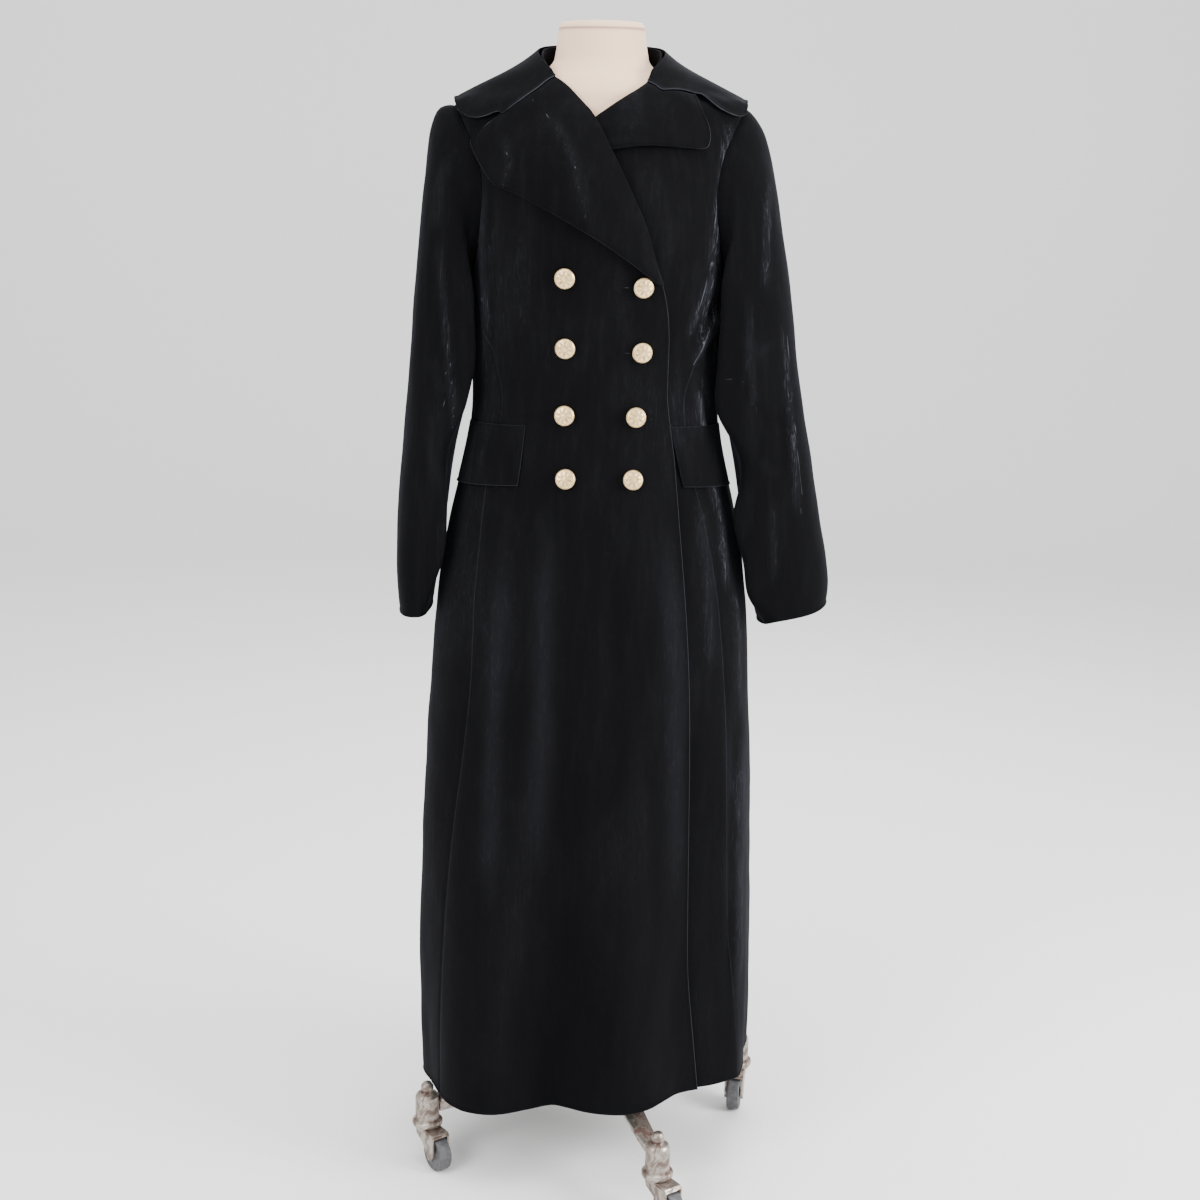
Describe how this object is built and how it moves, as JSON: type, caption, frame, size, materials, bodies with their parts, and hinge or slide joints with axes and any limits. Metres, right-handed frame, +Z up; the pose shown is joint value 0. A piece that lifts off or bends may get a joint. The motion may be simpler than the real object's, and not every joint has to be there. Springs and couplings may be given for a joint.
{
  "type": "velvet opera coat on a limbless dress form with a caster stand",
  "caption": "Long double-breasted velvet coat with notched collar, wide lapels and domed metal buttons, hung on a limbless dress form with a cast caster stand",
  "frame": {"origin": "middle of the whole part's box, on the floor under the wheels", "axes": "+Z up, -Y out of the coat's front, +X towards the wearer's left"},
  "size_m": [0.5594, 0.4986, 1.494],
  "materials": {
    "velvet": "black velvet with a short pile",
    "antique_gold": "antique gold, darkened in the recesses",
    "form_cloth": "tight cream knit cover",
    "cast_metal": "worn silver plate over bronze-brown casting",
    "wheel_grey": "scuffed grey"
  },
  "bodies": {
    "coat_and_stand": {"front_right": "velvet", "front_left": "velvet", "side_right": "velvet", "side_left": "velvet", "back_right": "velvet", "back_left": "velvet", "sleeve_right": "velvet", "sleeve_left": "velvet", "lapel_right": "velvet", "lapel_left": "velvet", "collar": "velvet", "collar_stand": "velvet", "flap_right": "velvet", "flap_left": "velvet", "button_1": "antique_gold", "button_2": "antique_gold", "button_3": "antique_gold", "button_4": "antique_gold", "button_5": "antique_gold", "button_6": "antique_gold", "button_7": "antique_gold", "button_8": "antique_gold", "dress_form": "form_cloth", "pole": "cast_metal", "hub": "cast_metal", "leg_front": "cast_metal", "leg_left": "cast_metal", "leg_back": "cast_metal", "leg_right": "cast_metal", "socket_front": "cast_metal", "socket_left": "cast_metal", "socket_back": "cast_metal", "socket_right": "cast_metal"},
    "caster_front": {"fork_front": "cast_metal"},
    "roller_front": {"wheel_front": "wheel_grey"},
    "caster_left": {"fork_left": "cast_metal"},
    "roller_left": {"wheel_left": "wheel_grey"},
    "caster_back": {"fork_back": "cast_metal"},
    "roller_back": {"wheel_back": "wheel_grey"},
    "caster_right": {"fork_right": "cast_metal"},
    "roller_right": {"wheel_right": "wheel_grey"}
  },
  "joints": [
    {"name": "swivel_front", "type": "hinge", "parent": "coat_and_stand", "child": "caster_front", "pos_m": [0.06907, -0.20386, 0.0545], "axis": [0, 0, 1], "continuous": true},
    {"name": "roll_front", "type": "hinge", "parent": "caster_front", "child": "roller_front", "pos_m": [0.08456, -0.22598, 0.02354], "axis": [0.8192, 0.5736, 0], "continuous": true},
    {"name": "swivel_left", "type": "hinge", "parent": "coat_and_stand", "child": "caster_left", "pos_m": [0.19357, 0.10428, 0.0545], "axis": [0, 0, 1], "continuous": true},
    {"name": "roll_left", "type": "hinge", "parent": "caster_left", "child": "roller_left", "pos_m": [0.18888, 0.07769, 0.02354], "axis": [0.9848, -0.1736, 0], "continuous": true},
    {"name": "swivel_back", "type": "hinge", "parent": "coat_and_stand", "child": "caster_back", "pos_m": [-0.11457, 0.22878, 0.0545], "axis": [0, 0, 1], "continuous": true},
    {"name": "roll_back", "type": "hinge", "parent": "caster_back", "child": "roller_back", "pos_m": [-0.09909, 0.20666, 0.02354], "axis": [0.8192, 0.5736, 0], "continuous": true},
    {"name": "swivel_right", "type": "hinge", "parent": "coat_and_stand", "child": "caster_right", "pos_m": [-0.23907, -0.07936, 0.0545], "axis": [0, 0, 1], "continuous": true},
    {"name": "roll_right", "type": "hinge", "parent": "caster_right", "child": "roller_right", "pos_m": [-0.22358, -0.10148, 0.02354], "axis": [0.8192, 0.5736, 0], "continuous": true}
  ]
}
